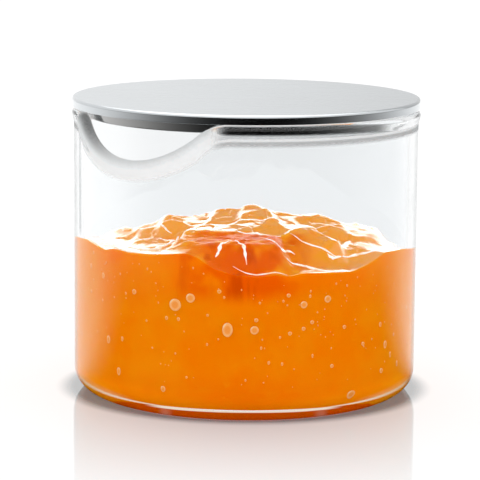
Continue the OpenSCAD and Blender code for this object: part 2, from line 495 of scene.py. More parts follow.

# %% [markdown]
# The frosted bead is white ground glass that also passes light from behind. A rough refracting glass would
# be the textbook way, but it takes many more samples to get clean, so a matt and a translucent surface are
# mixed instead. The matt one carries the tone's painted light and shade, with a painted glow where the tone
# is lightest.

# %% Finish of the bead
BEAD_PAINTED_DARK = (0.02, 0.02, 0.02)
BEAD_WHITE = (0.95, 0.985, 1.0)
BEAD_PAINTED_GLOW = (0.16, 0.16, 0.16)
BEAD_THROUGH = (0.94, 0.98, 1.0, 1)


def frosted_bead(place, tone, grain):
    """Milky glass whose tone paints its light and shade, with a painted glow and a fine grain."""
    white = (tone * (0.88 + 0.12 * grain)).tint(BEAD_PAINTED_DARK, BEAD_WHITE)
    # Painted glow where the tone is lightest.
    ground = place.matt(white, tone.step(0.6, 1.0).tint(NO_LIGHT, BEAD_PAINTED_GLOW))
    through = place.node("ShaderNodeBsdfTranslucent", None, {"Color": BEAD_THROUGH})
    return (tone * 0.4).mix(ground, through)


print("bead is", round(2 * BEAD_RADIUS / MM, 2), "mm thick")

# %% [markdown]
# In a white room clear glass shows by its edges, where the wall turns away and bends the room out of sight.
# The real wall has such a grey line on its outside and a second one on its bore, and the finish paints them
# grey where Layer Weight finds the places that turn away. The thick base is another special place: light is
# caught between its two faces until it meets the wet jam, so there the inner face is painted with a glow of
# the jam's colour.

# %% Painted edge lines and painted glow in the base of the glass
OUTER_LINE = 0.3
BORE_LINE = 0.45
BORE_LINE_SIDE = (0, -20 * MM)
BORE_LINE_FOOT = (41 * MM, 44 * MM)
WETTED_TOP = 8 * MM


def painted_edge_lines(place):
    """Share of painted grey where the upright glass turns away from the eye."""
    away = place.turned_away()
    bore = away.step(0.7, 0.74) * away.step(0.785, 0.75) * place.along(EYE_RIGHT).step(*BORE_LINE_SIDE)
    bore *= place.part("Z").step(*BORE_LINE_FOOT) * BORE_LINE
    lines = (away.step(0.78, 0.87) * OUTER_LINE).math("MAXIMUM", bore)
    return lines * place.levelness().step(0.5, 0.2) * place.ray("Is Camera Ray")


def painted_base_glow(place):
    """Share of the jam's colour painted as a glow on the inner face of the base, for light caught in the
    glass.
    """
    height = place.part("Z")
    wetted = height.step(WETTED_TOP, BASE) * height.step(0, BASE)
    wetted *= place.radius().step(BORE_RADIUS, MID_RADIUS - WALL)
    return wetted * place.from_within() * place.bounced("Glossy")


print("base wetted up to", WETTED_TOP)

# %% [markdown]
# Clear glass is mostly what it bends, so its finish is a refracting body with a faint waviness left from
# the blowing, and its far side is tinted a little grey, a painted shade. Lamps look for their targets along
# straight lines, which glass would stop, so the finish lets those lines through and the jam inside gets its
# light.

# %% Finish of the glass
GLASS_IOR = 1.47
GLASS_FRONT = (0.972, 0.984, 0.99)
GLASS_BACK_SHADE = (0.895, 0.91, 0.92)
GLASS_PAINTED_LINE = (0.42, 0.44, 0.45)
GLASS_STRAIGHT = (0.97, 0.98, 0.98, 1)
JAM_BASE_GLOW = (0.42, 0.056, 0.0)
BACK_SHADE_DEPTHS = (-8 * MM, -30 * MM)
BLOWN_WAVES = 38
FINE_WAVES = 150
HAZE_SPOTS = 420
FROST_GRAIN = 1500
BEAD_GRAIN = 2000


def clear_glass():
    material, place = new_finish("clear_glass")
    waves = place.noise(BLOWN_WAVES, 2.0) + 0.35 * place.noise(FINE_WAVES, 1.0)
    frost = place.marked("frost")
    haze = place.noise(HAZE_SPOTS, 3.0).step(0.55, 0.8) * 0.03
    haze += frost * (0.25 + 0.25 * place.noise(FROST_GRAIN, 2.0))
    # Painted shade: the far side of the wall is tinted grey.
    depth = place.along(TOWARDS_EYE) - 0.35 * place.along(EYE_RIGHT)
    body = place.surface({
        "Base Color": depth.step(*BACK_SHADE_DEPTHS).tint(GLASS_FRONT, GLASS_BACK_SHADE), "Transmission Weight": 1.0,
        "IOR": GLASS_IOR, "Roughness": haze, "Normal": place.bump(0.05, 1 * MM, waves),
    })
    grain = place.noise(BEAD_GRAIN, 2.0).step(0.3, 0.65)
    bead = frosted_bead(place, place.marked("tone"), grain)
    body = (frost * (0.86 + 0.12 * grain)).mix(body, bead)
    # Painted grey edge lines.
    body = painted_edge_lines(place).mix(body, place.matt(GLASS_PAINTED_LINE))
    # Painted glow of the jam in the base.
    body = painted_base_glow(place).mix(body, place.matt(NO_LIGHT, JAM_BASE_GLOW, 1.0))
    straight = place.node("ShaderNodeBsdfTransparent", None, {"Color": GLASS_STRAIGHT})
    soft_ray = place.ray("Is Shadow Ray").math("MAXIMUM", place.bounced("Diffuse"))
    finish_with(place, soft_ray.mix(body, straight))
    return material


dress(jar_glass, clear_glass(), "glass_jar", "jar")
print("glass dressed:", [slot.name for slot in jar_glass.data.materials])

# %% [markdown]
# The lid is two spun sheets. A sheet could be a plain cylinder with a bevel, but both are turned here from
# their sections, with every corner rounded by its own radius, because a real sheet never has a knife edge
# and the small rounds catch the light.

# %% Turned sections
CRISP = 0.12 * MM
CORNER_STEPS = 6
LID_COLUMNS = 360
FLAT_SHARES = (0.25, 0.5, 0.75)


def rounded_corner(corner, before, after, radius):
    """Rounds a corner of a section between the points before and after it, with a guard row on each side."""
    corner, before, after = (np.array(point, float) for point in (corner, before, after))
    inward = (before - corner) / np.linalg.norm(before - corner)
    onward = (after - corner) / np.linalg.norm(after - corner)
    centre = corner + (inward + onward) * radius
    start, end = corner + inward * radius, corner + onward * radius
    points = [start + inward * radius / 2]
    for lean in np.linspace(0, math.pi / 2, CORNER_STEPS):
        points.append(centre + (start - centre) * math.cos(lean) + (end - centre) * math.sin(lean))
    return points + [end + onward * radius / 2]


def along_flat(first, last):
    """Points between two ends of a flat stretch."""
    first, last = np.array(first), np.array(last)
    return [first + share * (last - first) for share in FLAT_SHARES]


def turned(name, section, radii):
    """Turns a section of right-angled corners about the axis, rounding each corner by its radius."""
    points = []
    for i, radius in enumerate(radii, 1):
        points += rounded_corner(section[i], section[i - 1], section[i + 1], radius)
    rows = along_flat(section[0], points[0]) + points + along_flat(points[-1], section[-1])
    lid_turn = angles(LID_COLUMNS)
    return loft(name, np.array([ring(lid_turn, radius, height) for radius, height in rows]))


print("corners have", CORNER_STEPS, "steps")

# %% [markdown]
# The cap is a flat disc with its edge turned down, and the plug is a shallow pan that hangs in the mouth,
# held by a flange inside the cap. Their sections start and end on the axis, and their outer sizes come from
# the solids, so both sheets sit exactly where those are.

# %% Cap and plug
cap_low, cap_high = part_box("lid_cap")
plug_low, plug_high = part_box("lid_plug")
CAP_SHEET = 0.8 * MM
CAP_EDGE = 0.78 * MM
PLUG_SHEET = 0.6 * MM
PLUG_EDGE = 0.25 * MM
PLUG_CLEARANCE = 1.0 * MM
CAP_RADIUS = cap_high.x
CAP_INSIDE = CAP_RADIUS - CAP_SHEET
CAP_UNDER = cap_high.z - CAP_SHEET
LID_Z = cap_low.z
PLUG_RADIUS = BORE_RADIUS - PLUG_CLEARANCE
PLUG_INSIDE = PLUG_RADIUS - PLUG_SHEET
PLUG_FLOOR = plug_low.z + PLUG_SHEET
FLANGE_RADIUS = plug_high.x

lid_cap = turned("lid_cap_disc", [
    (0, CAP_UNDER), (CAP_INSIDE, CAP_UNDER), (CAP_INSIDE, LID_Z),
    (CAP_RADIUS, LID_Z), (CAP_RADIUS, cap_high.z), (0, cap_high.z),
], [CRISP, CRISP, CRISP, CAP_EDGE])
lid_plug = turned("lid_plug_pan", [
    (0, plug_low.z), (PLUG_RADIUS, plug_low.z), (PLUG_RADIUS, LID_Z), (FLANGE_RADIUS, LID_Z),
    (FLANGE_RADIUS, plug_high.z), (PLUG_INSIDE, plug_high.z), (PLUG_INSIDE, PLUG_FLOOR), (0, PLUG_FLOOR),
], [PLUG_EDGE, CRISP, CRISP, CRISP, CRISP, CRISP])
print("lid faces:", len(lid_cap.data.polygons), len(lid_plug.data.polygons))

# %% [markdown]
# Brushed steel is bright metal with thousands of fine scratches that all run one way. On the disc they run
# straight across, and on the turned edges they run round. Stretched noise gives both: it is fine across
# the scratches and long along them, and it moves the roughness, the tone and the normal together.

# %% Finish of the steel
SCRATCH_LENGTH = 60
SCRATCH_FINENESS = 5200
STEEL_CLOUDS = 60
SCRATCH_RELIEF = 0.05 * MM
CAP_STEEL = (0.61, 0.638, 0.655)
CAP_SHINE = 0.28
PLUG_STEEL = (0.4, 0.4, 0.395)
PLUG_SHINE = 0.22


def brushed_steel(name, tone, shine):
    material, place = new_finish(name)
    x, y, z = place.part("X"), place.part("Y"), place.part("Z")
    across = EYE_RIGHT.x * y - EYE_RIGHT.y * x
    straight = (place.along(EYE_RIGHT) * SCRATCH_LENGTH).join(across * SCRATCH_FINENESS, z * SCRATCH_FINENESS)
    around = y.math("ARCTAN2", x) * (RIM_RADIUS * SCRATCH_LENGTH)
    circles = around.join(z * SCRATCH_FINENESS, place.radius() * SCRATCH_FINENESS)
    flat = place.levelness().step(0.8, 0.98)
    lines = flat * straight.noise(1, 3.0, 0.6) + (1 - flat) * circles.noise(1, 3.0, 0.6)
    clouds = place.noise(STEEL_CLOUDS, 3.0)
    dull = [0.9 * part for part in tone]
    bright = [1.08 * part for part in tone]
    body = place.surface({
        "Base Color": (lines * 0.7 + clouds * 0.3).tint(dull, bright), "Metallic": 1.0,
        "Roughness": shine * (0.5 + 0.5 * flat) + (lines - 0.5) * 0.16 + (clouds - 0.5) * 0.05,
        "Normal": place.bump(0.1, SCRATCH_RELIEF, lines),
    })
    finish_with(place, body)
    return material


cap_finish = brushed_steel("brushed_lid_steel", CAP_STEEL, CAP_SHINE)
plug_finish = brushed_steel("drawn_plug_steel", PLUG_STEEL, PLUG_SHINE)
dress(lid_cap, cap_finish, "lid_cap", "lid")
dress(lid_plug, plug_finish, "lid_plug", "lid")
for sheet_piece in (lid_cap, lid_plug):
    sheet_piece.visible_diffuse = False
print("lid dressed:", cap_finish.name, plug_finish.name)

# %% [markdown]
# The jam was spooned in, so it meets the glass all the way round in a wavy line, lowest at the front, where
# the spoon went in. A short table holds the line's rises, and a second one the calm wet band inside it.
# Straight lines between the rows are enough, because the heap hides their corners.

# %% The jam's edge on the glass
WET_OVERLAP = 0.05 * MM
JAM_RADIUS = BORE_RADIUS + WET_OVERLAP
JAM_COLUMNS = 480
EDGE_Z = 39.6 * MM
EDGE_WAVE = 3 * MM

# Angle round the glass in degrees to the right of the camera, and the edge's rise as a share of the wave.
EDGE_SHARES = np.array([
    (-180, -1.2), (-120, -1.2), (-90, -0.2), (-79, 0.35), (-67, 0.6), (-54, 0.2), (-49, 0.45), (-42, 0.35),
    (-33, 0.45), (-20, 0.8), (-16, 0.55), (-10, -0.35), (-4, -0.8), (4, -1), (10, -0.8), (15, -0.95),
    (20, -0.75), (38, -0.95), (45, -0.55), (54, 0.2), (66, 0.05), (76, -0.3), (100, -1.1), (180, -1.2),
])
# The same angles, and the width of the calm wet band inside the edge as a share of the radius.
BAND_SHARES = np.array([
    (-180, 0.05), (-90, 0.06), (-75, 0.07), (-30, 0.07), (-18, 0), (12, 0), (25, 0.04), (50, 0.03),
    (80, 0.02), (180, 0.05),
])


def edge_of_jam(seen):
    """Height of the jam on the glass at angles to the right of the camera."""
    return EDGE_Z + EDGE_WAVE * np.interp(seen, *EDGE_SHARES.T)


jam_turn = angles(JAM_COLUMNS)
jam_seen = seen_from_eye(jam_turn)
contact = edge_of_jam(jam_seen)
print("jam edge from", contact.min(), "to", contact.max())

# %% [markdown]
# The heap breaks into glossy chunks. Noise alone gives soft hills, and sculpting can't be repeated, so each
# chunk is a row in a table: a place, a lift and a tilt. Every place on the heap takes the tilted face of its
# nearest chunk, as broken jelly does. Faces that lean away from the camera mirror the white room, and the
# others show their amber.

# %% Chunks of the heap
# Each row is a place to the right and towards the camera as shares of the radius, a lift as a share of the
# heap's height, and the slopes to the right and towards the camera.
CHUNKS = np.array([
    (-0.82, 0.40, 0.10, 0.0, -0.05), (-0.72, 0.22, 0.28, 0.15, -0.30), (-0.76, -0.12, -0.10, 0.15, 0.10),
    (-0.58, 0.30, 0.34, 0.10, -0.30), (-0.62, 0.05, 0.22, 0.10, -0.20), (-0.47, 0.06, 0.50, 0.0, -0.30),
    (-0.45, 0.30, 0.48, 0.05, -0.50), (-0.21, 0.40, 0.62, 0.02, -0.02), (-0.32, 0.10, 0.54, 0.0, -0.10),
    (-0.14, 0.12, 0.68, 0.0, -0.30), (0.09, 0.13, 0.80, 0.0, -0.30), (0.04, 0.31, 0.72, 0.0, -0.15),
    (0.17, 0.33, 0.70, -0.05, -0.40), (0.30, 0.28, 0.58, 0.0, 0.0), (0.25, 0.08, 0.70, -0.05, -0.15),
    (0.43, 0.13, 0.52, -0.05, -0.30), (0.50, 0.30, 0.46, -0.10, -0.45), (0.72, 0.21, 0.42, -0.10, -0.12),
    (0.75, 0.47, 0.12, -0.10, -0.20), (0.90, 0.14, 0.10, -0.20, -0.20), (0.34, 0.55, 0.42, 0.0, -0.40),
    (0.04, 0.62, 0.52, 0.0, -0.03), (-0.27, 0.64, 0.48, 0.0, -0.03), (-0.56, 0.52, 0.20, 0.05, -0.25),
    (-0.43, -0.22, 0.25, 0.10, 0.25), (-0.10, -0.20, 0.58, 0.0, 0.25), (0.28, -0.18, 0.42, -0.10, 0.25),
    (0.62, -0.16, 0.08, -0.20, 0.20), (-0.20, -0.58, 0.0, 0.0, 0.20), (0.18, -0.58, -0.05, 0.0, 0.20),
    (0.52, -0.52, -0.25, -0.15, 0.20), (-0.56, -0.52, -0.30, 0.20, 0.20), (0.0, -0.86, -0.40, 0.0, 0.10),
])
HEAP_HEIGHT = 8 * MM
CHUNK_BLEND = 0.7 * MM


def heap_height(right, near):
    """Height of the heap: the tilted face of the nearest chunk, softly blended into its neighbours."""
    off_right = right[..., None] - JAM_RADIUS * CHUNKS[:, 0]
    off_near = near[..., None] - JAM_RADIUS * CHUNKS[:, 1]
    away = np.hypot(off_right, off_near)
    weight = np.exp((away.min(-1, keepdims=True) - away) / CHUNK_BLEND)
    faces = EDGE_Z + HEAP_HEIGHT * CHUNKS[:, 2] + CHUNKS[:, 3] * off_right + CHUNKS[:, 4] * off_near
    return (weight * faces).sum(-1) / weight.sum(-1)


print("chunks:", len(CHUNKS))

# %% [markdown]
# A spoon leaves no straight borders. Slow noise bends the borders between the chunks, small facets stand
# for crumbs of fruit, and a finer ripple breaks up the mirror of the wet skin. All three are read at the
# place itself, so the threads of syrup further on can lie on exactly the same surface. The noise that bends
# starts from the clock unless it is given a seed, and with one every run heaps the jam in the same way.

# %% Surface of the jam
CLIMB_SHARE = 0.2
WARP = 1.4 * MM
WARP_SIZE = 7 * MM
CRUMB_SIZE = 4.5 * MM
CRUMB_LIFT = 0.3 * MM
CRUMB_TILT = 0.5 * MM
CRUMB_WANDER = 0.4
CRUMB_DRAW = 31
RIPPLE = 0.2 * MM
RIPPLE_SIZE = 2.8 * MM
HEAP_SEED = 7
noise.seed_set(HEAP_SEED)


def crumb(spot):
    """Small broken facets on the chunks, as a height."""
    bent = spot / CRUMB_SIZE + noise.noise_vector(spot / CRUMB_SIZE) * CRUMB_WANDER
    centre = noise.voronoi(bent)[1][0]
    draw = noise.cell_vector(centre * CRUMB_DRAW) - Vector((0.5, 0.5, 0.5))
    off = bent - centre
    return draw.z * CRUMB_LIFT + (draw.x * off.x + draw.y * off.y) * CRUMB_TILT


def detail(right, near):
    """Bends of the chunks' borders and fine relief at one place: two offsets and a height."""
    spot = Vector((right, near, 0))
    warp = noise.noise_vector(spot / WARP_SIZE) * WARP
    return warp.x, warp.y, crumb(spot) + RIPPLE * noise.noise(spot / RIPPLE_SIZE)


def jam_surface(right, near):
    """Height of the jam's open surface at places to the right and towards the camera."""
    share = np.hypot(right, near) / JAM_RADIUS
    seen = np.degrees(np.arctan2(right, near))
    climb = ramp(1 - share - np.interp(seen, *BAND_SHARES.T), 0, CLIMB_SHARE)
    warp_right, warp_near, relief = np.array([detail(*spot) for spot in zip(right, near)]).T
    heap = heap_height(right + warp_right, near + warp_near) + relief
    return between(edge_of_jam(seen), heap, climb)


def top_row(share):
    """Points of the jam's open surface at a share of its radius."""
    seen = np.radians(jam_seen)
    right, near = JAM_RADIUS * share * np.sin(seen), JAM_RADIUS * share * np.cos(seen)
    return ring(jam_turn, JAM_RADIUS * share, jam_surface(right, near))


print("middle of the heap at", jam_surface(np.zeros(1), np.zeros(1))[0])

# %% [markdown]
# The body of the jam is a stack of rings again: over the bottom, round the heel, up the wall to the wavy
# edge and in over the heap. It reaches a hair into the glass, because wet jam leaves no air there, and light
# would show a gap at once.

# %% Mesh of the jam
JAM_WALL_ROWS = 60
JAM_TOP_ROWS = 150
JAM_BASE_ROWS = 8
JAM_HEEL = INNER_HEEL_RADIUS + WET_OVERLAP
JAM_BOTTOM = BASE - WET_OVERLAP
JAM_FOOT = JAM_BOTTOM + JAM_HEEL

base_radii = np.linspace(0, 1, JAM_BASE_ROWS)[1:-1] * (JAM_RADIUS - JAM_HEEL)
wall_rows = [ring(jam_turn, radius, JAM_BOTTOM) for radius in base_radii]
for radius, height in heel(JAM_HEEL, JAM_RADIUS - JAM_HEEL, JAM_FOOT, 2 * HEEL_ROWS):
    wall_rows.append(ring(jam_turn, radius, height))
for share in np.linspace(0, 1, JAM_WALL_ROWS)[1:]:
    wall_rows.append(ring(jam_turn, JAM_RADIUS, between(JAM_FOOT, contact, share)))
top_rows = [top_row(share) for share in np.linspace(1, 0, JAM_TOP_ROWS)[1:-1]]
jam_rows = np.array(wall_rows + top_rows)
jam = loft("jam_filling", jam_rows)

# %% [markdown]
# The jam looks different where it is open, where it is pressed against the glass, in the deep front pocket,
# at the sides and round the heel. A maker would mask these zones by painting them. Here each zone is a value
# on the mesh, worked out from the place, so that the finish can read it by name. The sides, as the camera
# sees them, carry painted light, and the heel a painted warm glow.

# %% Zones of the jam
SIDE_ANGLE = 70
POCKET_RIGHT = -0.5 * MM
POCKET_HALF = 15 * MM
POCKET_DEPTHS = (18.5 * MM, 22.5 * MM)
POCKET_HEIGHTS = (29 * MM, 34 * MM)
HEEL_TOP = 9 * MM
HEEL_LOW = 4.6 * MM
HEEL_LIGHT = (0.3, 0.7)
HEEL_FOOT_LIGHT = 0.25

right = jam_rows[:, :, 0] * EYE_RIGHT.x + jam_rows[:, :, 1] * EYE_RIGHT.y
near = jam_rows[:, :, 0] * TOWARDS_EYE.x + jam_rows[:, :, 1] * TOWARDS_EYE.y
heights = jam_rows[:, :, 2]
is_open = np.repeat([0.0, 1.0], [len(wall_rows), len(top_rows)])[:, None] + 0 * heights
side = np.minimum(np.abs(jam_seen) / SIDE_ANGLE, 1) + 0 * heights
pocket = np.exp(-(((right - POCKET_RIGHT) / POCKET_HALF) ** 4)) * ramp(near, *POCKET_DEPTHS)
# Painted glow in the heel: stronger towards the sides, weaker at the front and at the very foot.
heel_light = between(HEEL_FOOT_LIGHT, between(*HEEL_LIGHT, side), ramp(heights, JAM_BOTTOM, HEEL_LOW))
mark(jam, "open", is_open)
mark(jam, "side", side)
mark(jam, "deep", pocket * ramp(heights, *POCKET_HEIGHTS))
mark(jam, "heel", heel_light * ramp(heights, HEEL_TOP, HEEL_LOW))
print("open share of the jam's points:", is_open.mean())

# %% [markdown]
# Low down, the rounded heel mirrors the white room in one thin bright line that climbs a little towards the
# sides. A real mirror image there would need far more rays than the line is worth, so it is a painted
# reflection, a mark too, with a painted soft halo above it near the corners.

# %% Painted bright line round the heel
LINE_ANGLES = (28, 80)
LINE_FADE = 8
LINE_RADIUS = 37.2 * MM
LINE_CLIMB = 0.06 * MM
LINE_HALF = 0.42 * MM
LINE_WIDTHS = (1.3 * LINE_HALF, 0.3 * LINE_HALF)
HALO = 1.6 * MM
HALO_LEVEL = 0.3
HALO_ANGLES = (40, 55)

aside = np.abs(jam_seen)
shown = ramp(aside, LINE_ANGLES[0], LINE_ANGLES[0] + LINE_FADE)
shown *= ramp(aside, LINE_ANGLES[1], LINE_ANGLES[1] - LINE_FADE)
off_line = np.hypot(right, near) - LINE_RADIUS - LINE_CLIMB * (aside - LINE_ANGLES[0])
bright_line = ramp(np.abs(off_line), *LINE_WIDTHS)
halo = HALO_LEVEL * np.clip(1 - off_line / HALO, 0, 1) * (off_line > 0) * ramp(aside, *HALO_ANGLES)
# The gap mark holds a painted reflection: the bright line and its halo.
mark(jam, "gap", shown * np.maximum(bright_line, halo) * (heights < HEEL_TOP))
print("line half width", LINE_HALF)

# %% [markdown]
# The colour of the jam comes in layers, from large to small: clouds of orange and amber, painted light that
# makes the sides paler as the camera sees them, gold where it is open, partly its own colour and partly
# painted light through the thin chunks, redder towards the bottom, a painted dark-red shade under the heel,
# red lumps in the front pocket with darker upright streaks, and specks of pulp. One flat orange would look
# like paint.

# %% Colour of the jam
JAM_ORANGE = (0.98, 0.22, 0.0)
JAM_AMBER = (0.98, 0.275, 0.002)
JAM_RED = (0.86, 0.115, 0.0)
JAM_DARK_RED = (0.66, 0.07, 0.0)
JAM_GOLD = (1.0, 0.37, 0.01)
JAM_UNDER_SHADE = (0.72, 0.066, 0.0)
JAM_SIDE_PAINTED_LIGHT = (0.98, 0.31, 0.005)
RED_HEIGHTS = (15 * MM, 5 * MM)
UNDER_SHADE_RADII = (37.4 * MM, 36.9 * MM)
UNDER_SHADE_HEIGHTS = (6 * MM, 5 * MM)
JAM_CLOUDS = 70
JAM_PULP = 420
POCKET_LUMPS = 120
STRAY_LUMPS = 95
UPRIGHT_STREAKS = 260
STREAK_STRETCH = 0.15


def jam_colour(place):
    side, height = place.marked("side"), place.part("Z")
    colour = place.noise(JAM_CLOUDS, 4.0, 0.55).step(0.35, 0.7).tint(JAM_ORANGE, JAM_AMBER)
    # Painted light: paler towards the sides as the camera sees them.
    colour = side.step(0.6, 1.0).tint(colour, JAM_SIDE_PAINTED_LIGHT)
    colour = (height.step(*RED_HEIGHTS) * (1 - side) * 0.5).tint(colour, JAM_RED)
    # Gold where the jam is open: partly its own colour, partly painted light through the thin chunks.
    colour = (place.marked("open") * 0.9).tint(colour, JAM_GOLD)
    # Painted shade: dark red under the heel.
    colour = (place.radius().step(*UNDER_SHADE_RADII) * height.step(*UNDER_SHADE_HEIGHTS)).tint(colour, JAM_UNDER_SHADE)
    deep = place.marked("deep") * place.noise(POCKET_LUMPS, 2.0).step(0.25, 0.55)
    lumps = deep + place.noise(STRAY_LUMPS, 2.0).step(0.6, 0.8) * 0.2
    colour = lumps.math("MINIMUM", 1.0).tint(colour, JAM_RED)
    colour = (place.noise(JAM_PULP, 3.0, 0.6).step(0.62, 0.8) * 0.3).tint(colour, JAM_GOLD)
    upright = place.part("X").join(place.part("Y"), height * STREAK_STRETCH)
    streaks = upright.noise(UPRIGHT_STREAKS, 2.0).step(0.5, 0.68)
    return (deep * streaks * 0.8).tint(colour, JAM_DARK_RED)


print("jam's main colour", JAM_ORANGE)

# %% [markdown]
# Jam is a cloudy jelly: light goes in, wanders and comes out orange, so it looks lit from inside, and
# subsurface scattering gives that, with a faint painted glow on the open skin. The open skin is wet and
# mirrors the room. Behind the glass there is no skin to mirror anything, so that face is matt, with a
# painted warm glow in the heel and the painted bright lines of the glass that lies over it.

# %% Wet and pressed faces of the jam
JAM_SCATTER = {"Subsurface Weight": 0.6, "Subsurface Radius": (1.0, 0.4, 0.06)}
JAM_GLOW = (0.28, 0.07, 0.0)
JAM_OPEN_GLOW = (0.08, 0.02, 0.0, 1)
JAM_PAINTED_LINE = (0.9, 0.74, 0.6)
JAM_SIDE_PAINTED_LINE = (0.86, 0.56, 0.33)
WET_SCATTER = 3 * MM
PRESSED_SCATTER = 6 * MM
SKIN_RIPPLE = 500
SKIN_RELIEF = 0.3 * MM


def wet_face(place, colour):
    """The open skin, with a clear coat of syrup and a faint painted glow."""
    return place.surface({
        "Base Color": colour, "Roughness": 0.03 + place.noise(JAM_PULP, 3.0, 0.6) * 0.06, "IOR": 1.4,
        "Normal": place.bump(0.1, SKIN_RELIEF, place.noise(SKIN_RIPPLE, 2.0)), "Specular IOR Level": 0.7,
        **JAM_SCATTER, "Subsurface Scale": WET_SCATTER,
        "Coat Weight": 1.0, "Coat IOR": 1.5, "Coat Roughness": 0.03,
        # A faint painted glow on the open skin.
        "Emission Color": JAM_OPEN_GLOW, "Emission Strength": 1.0,
    })


def pressed_face(place, colour):
    """The face behind the glass, with a painted glow in the heel and the painted bright lines that show over
    it.
    """
    pressed = place.surface({
        "Base Color": colour, "Roughness": 0.5, "Specular IOR Level": 0.0,
        **JAM_SCATTER, "Subsurface Scale": PRESSED_SCATTER,
        # Painted warm glow in the heel.
        "Emission Color": place.marked("heel").tint(NO_LIGHT, JAM_GLOW), "Emission Strength": 1.0,
    })
    side = place.marked("side")
    # Painted bright lines: where the face turns away from the ray at the front, and the marked line round the
    # heel.
    painted_grazing_line = (place.turned_away() + 0.22 * side * side).step(0.955, 0.98) * side.step(0.58, 0.46)
    lines = painted_grazing_line.math("MAXIMUM", place.marked("gap")) * (1 - place.bounced("Glossy"))
    bright = place.matt(NO_LIGHT, side.step(0.6, 1.0).tint(JAM_PAINTED_LINE, JAM_SIDE_PAINTED_LINE), 1.0)
    return lines.mix(pressed, bright)


print("scatter of the wet and the pressed face:", WET_SCATTER, PRESSED_SCATTER)

# %% [markdown]
# The wall of a jar also guides light: a ray caught in it runs up and down between its two faces and leaves
# at the rim, where it would paint orange lines that the real, slightly grey glass doesn't show. Such rays
# are the ones that were mirrored before they meet the jam, and they get a painted pale light, the tone of the
# room, instead.

# %% Finish of the jam
GUIDED_LIGHT = (0.9, 0.92, 0.93, 1)
GUIDED_HEIGHTS = (24 * MM, 26 * MM)


def guided_rays(place):
    """Share of painted pale light for rays that the glass guided to the jam."""
    mirrored = place.bounced("Glossy")
    long_way = place.ray("Ray Depth").step(2.4, 2.6) * mirrored * place.part("Z").step(*GUIDED_HEIGHTS)
    return long_way.math("MAXIMUM", place.from_within() * mirrored)


def orange_jam():
    material, place = new_finish("orange_jam")
    colour = jam_colour(place)
    uncovered = place.marked("open")
    wet = (uncovered - 1.7 * place.marked("deep")).math("MAXIMUM", 0.15 * uncovered)
    body = wet.mix(pressed_face(place, colour), wet_face(place, colour))
    painted_pale_light = place.node("ShaderNodeEmission", None, {"Color": GUIDED_LIGHT, "Strength": 1.0})
    finish_with(place, guided_rays(place).mix(body, painted_pale_light))
    return material


dress(jam, orange_jam(), "jam", "jar")
jam.visible_glossy = False
print("jam dressed:", [slot.name for slot in jam.data.materials])

# %% [markdown]
# Spooning leaves bubbles of air, and the ones against the glass are pressed flat and show as peach discs
# with a pale edge. They are flat lenses on the wall. The larger ones are listed one by one, as shares of the
# radius seen through the bending glass, and the many small ones are strewn with a seed.

# %% Shape of a bubble
BUBBLE_ROWS = 7
BUBBLE_COLUMNS = 14
BUBBLE_SWELL = 0.12 * MM
BUBBLE_LEAN = np.linspace(-math.pi / 2, math.pi / 2, BUBBLE_ROWS + 2)[1:-1, None]
BUBBLE_ROUND = angles(BUBBLE_COLUMNS)[None, :]


def wall_angle(right):
    """Angle round the bore of a place seen at a share of the radius to the right, as the glass bends it."""
    right *= 1 - JAR_RADIUS * math.sqrt(1 - right**2) / EYE_DISTANCE
    bent = math.asin(right / GLASS_IOR)
    return VIEW_AZIMUTH + math.asin(right) - bent + math.asin(math.sin(bent) * JAR_RADIUS / BORE_RADIUS)


def bubble(angle, height, width, tallness):
    """Rings of a flat lens against the glass, from its middle in the jam to its middle on the wall."""
    across = width / 2 * np.cos(BUBBLE_LEAN) * np.cos(BUBBLE_ROUND)
    up = tallness * width / 2 * np.cos(BUBBLE_LEAN) * np.sin(BUBBLE_ROUND)
    under = np.clip(JAM_FOOT - height - up, 0, JAM_HEEL)
    out = JAM_RADIUS - JAM_HEEL + np.sqrt(JAM_HEEL**2 - under**2) + BUBBLE_SWELL * np.sin(BUBBLE_LEAN)
    round_wall = angle + across / out
    return np.stack([out * np.sin(round_wall), -out * np.cos(round_wall), height + up], -1)


print("a bubble has", BUBBLE_ROWS * BUBBLE_COLUMNS, "points and two ends")

# %% Bubbles against the glass
# Each row is a place to the right as the camera sees it, as a share of the jar's radius, then a height and
# a width in millimetres, and the ratio of the tallness to the width.
BUBBLES = [
    (-0.41, 29, 3.1, 1.0), (-0.32, 31, 2.3, 1.0), (-0.10, 23.5, 2.6, 1.4), (0.06, 23.5, 2.1, 1.0),
    (0.35, 29.5, 1.8, 1.0), (0.49, 30.5, 1.8, 1.0), (-0.65, 31, 1.3, 1.0), (-0.80, 17.5, 1.3, 1.6),
    (-0.72, 18.5, 0.8, 1.6), (-0.74, 10, 1.3, 1.6), (-0.48, 7.5, 1.3, 1.2), (0.645, 5.5, 2.5, 0.8),
    (0.83, 16.5, 1.3, 1.6), (0.86, 13.5, 0.8, 2.0), (0.90, 10.5, 0.8, 2.0), (0.81, 10, 1.3, 1.0),
    (-0.15, 33, 1.0, 1.0), (0.26, 32, 1.0, 1.0), (0.07, 26, 1.0, 1.0), (0.40, 25, 1.0, 1.0),
    (0.35, 23.5, 1.0, 1.0), (0.27, 22.5, 1.0, 1.0), (0.59, 23, 1.0, 1.0), (0.70, 18, 1.0, 1.0),
    (0.80, 22, 1.0, 1.3), (0.52, 13.5, 1.0, 1.0), (-0.83, 33.5, 1.0, 1.5), (-0.90, 35, 1.0, 1.3),
    (0.95, 24, 1.0, 1.0), (-0.90, 28.5, 0.8, 1.0), (-0.46, 25.5, 0.8, 1.2), (-0.39, 25.5, 0.8, 1.2),
]
SMALL_BUBBLES = 420
SMALL_LOW = 9 * MM
SMALL_BELOW_EDGE = 2 * MM
SMALL_WIDTHS = (0.22 * MM, 0.65 * MM)
